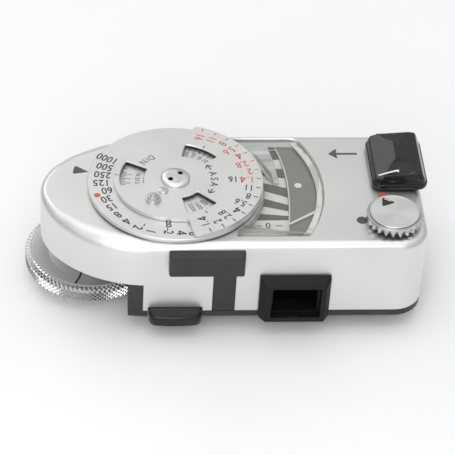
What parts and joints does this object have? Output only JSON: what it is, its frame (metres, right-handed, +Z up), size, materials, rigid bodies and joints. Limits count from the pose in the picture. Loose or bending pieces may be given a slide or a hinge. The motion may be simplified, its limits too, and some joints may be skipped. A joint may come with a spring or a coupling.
{
  "type": "camera-top exposure meter",
  "caption": "Clip-on light meter with a calculator dial, a needle window, a sliding switch, a range knob and a knurled coupling wheel under its nose.",
  "frame": {"origin": "centre of the shoe foot's underside, where the meter stands", "axes": "+Z up, +X along the body from the nose to the switch, -Y the side with the light window"},
  "size_m": [0.0763, 0.036, 0.0253],
  "materials": {
    "satin_chrome": "satin chrome plate on brass, finely brushed",
    "black_paint": "satin black enamel",
    "gloss_black": "polished black moulding",
    "dark_plastic": "matt black moulding",
    "knurled_chrome": "satin chrome, diamond knurled",
    "dial_silver": "fine satin dial surface with black and red figures",
    "screw_steel": "turned steel",
    "brass_parts": "plain brass",
    "copper_parts": "copper coloured metal and windings",
    "clear_plastic": "clear acrylic, lightly scratched",
    "off_white": "matt off-white paint",
    "field_grey": "matt dark grey paint",
    "magnet_grey": "sintered magnet",
    "ruby": "synthetic ruby",
    "board_brown": "phenolic board",
    "part_beige": "lacquered resistor bodies",
    "part_blue": "moulded trimmer",
    "cell_steel": "nickel plated cell case"
  },
  "bodies": {
    "casing": {"top_casing": "satin_chrome", "base_plate": "black_paint", "nose_plate": "black_paint", "front_bar": "black_paint", "bar_stem": "black_paint", "cell_hood": "dark_plastic", "cell_baffle": "dark_plastic", "cell_window": "clear_plastic", "photo_cell": "copper_parts", "window_lens": "clear_plastic", "window_frame": "off_white", "needle_field_plate": "field_grey", "scale_band_plate": "off_white", "movement_frame": "brass_parts", "movement_bridge": "brass_parts", "pivot_jewels": "ruby", "yoke_ring": "screw_steel", "core_magnet": "magnet_grey", "dial_bush": "brass_parts", "wheel_bush": "brass_parts", "wheel_spring": "screw_steel", "slide_guide": "brass_parts", "slide_spring": "screw_steel", "switch_contacts": "copper_parts", "range_contacts": "board_brown", "circuit_board": "board_brown", "resistors": "part_beige", "trim_pot": "part_blue", "battery": "cell_steel", "battery_holder": "dark_plastic", "battery_contact": "copper_parts", "shoe_foot": "satin_chrome", "foot_neck": "satin_chrome", "foot_screws": "screw_steel", "base_screws": "screw_steel"},
    "lift": {"lift_plate": "screw_steel"},
    "wheel": {"coupling_wheel": "knurled_chrome", "wheel_spindle": "screw_steel", "wheel_pinion": "brass_parts", "coupling_pin": "screw_steel", "wheel_nut": "screw_steel"},
    "tab": {"release_tab": "gloss_black"},
    "dial": {"speed_disc": "dial_silver", "dial_spindle": "screw_steel", "speed_gear": "brass_parts", "centre_screw": "screw_steel"},
    "film_disc": {"calculator_disc": "dial_silver", "index_rivet": "screw_steel", "film_speed_button": "screw_steel"},
    "needle_assembly": {"moving_coil": "copper_parts", "pivot_staff": "screw_steel", "needle": "off_white", "hairspring": "copper_parts"},
    "switch": {"switch_slide": "gloss_black", "slide_carriage": "brass_parts"},
    "knob": {"range_knob": "knurled_chrome", "knob_cap": "dial_silver", "range_shaft": "screw_steel", "range_wiper": "copper_parts"},
    "cover": {"battery_cover": "satin_chrome"}
  },
  "joints": [
    {"name": "wheel_lift", "type": "slide", "parent": "casing", "child": "lift", "axis": [0, 0, 1], "range_m": [0, 0.0016], "stiffness_N_per_m": 350, "springref_m": -0.0015, "deforming": ["wheel_spring"]},
    {"name": "wheel_spin", "type": "hinge", "parent": "lift", "child": "wheel", "pos_m": [-0.03375, 0, 0.005], "axis": [0, 0, 1], "range_deg": [-42.5, 285]},
    {"name": "tab_press", "type": "slide", "parent": "casing", "child": "tab", "axis": [0, 1, 0], "range_m": [0, 0.0018]},
    {"name": "dial_turn", "type": "hinge", "parent": "casing", "child": "dial", "pos_m": [-0.018, 0, 0.0216], "axis": [0, 0, 1], "range_deg": [-97.1, 14.5]},
    {"name": "film_speed", "type": "hinge", "parent": "dial", "child": "film_disc", "pos_m": [-0.018, 0, 0.0224], "axis": [0, 0, 1], "range_deg": [-10, 80]},
    {"name": "needle_swing", "type": "hinge", "parent": "casing", "child": "needle_assembly", "pos_m": [0.0178, 0.0004, 0.0198], "axis": [0, 0, 1], "range_deg": [-64, 0], "stiffness_Nm_per_rad": 0.00001, "springref_deg": 5.73},
    {"name": "switch_push", "type": "slide", "parent": "casing", "child": "switch", "axis": [-1, 0, 0], "range_m": [0, 0.003], "stiffness_N_per_m": 250, "springref_m": -0.002, "deforming": ["slide_spring"]},
    {"name": "range_turn", "type": "hinge", "parent": "casing", "child": "knob", "pos_m": [0.0223, -0.01035, 0.022], "axis": [0, 0, 1], "range_deg": [0, 79]},
    {"name": "cover_turn", "type": "hinge", "parent": "casing", "child": "cover", "pos_m": [0.0186, 0.0045, 0.0038], "axis": [0, 0, 1], "range_deg": [0, 60]}
  ],
  "couplings": [
    {"joint": "dial_turn", "follows": "wheel_spin", "ratio": -0.34043},
    {"joint": "tab_press", "follows": "wheel_lift", "ratio": 1.125}
  ]
}
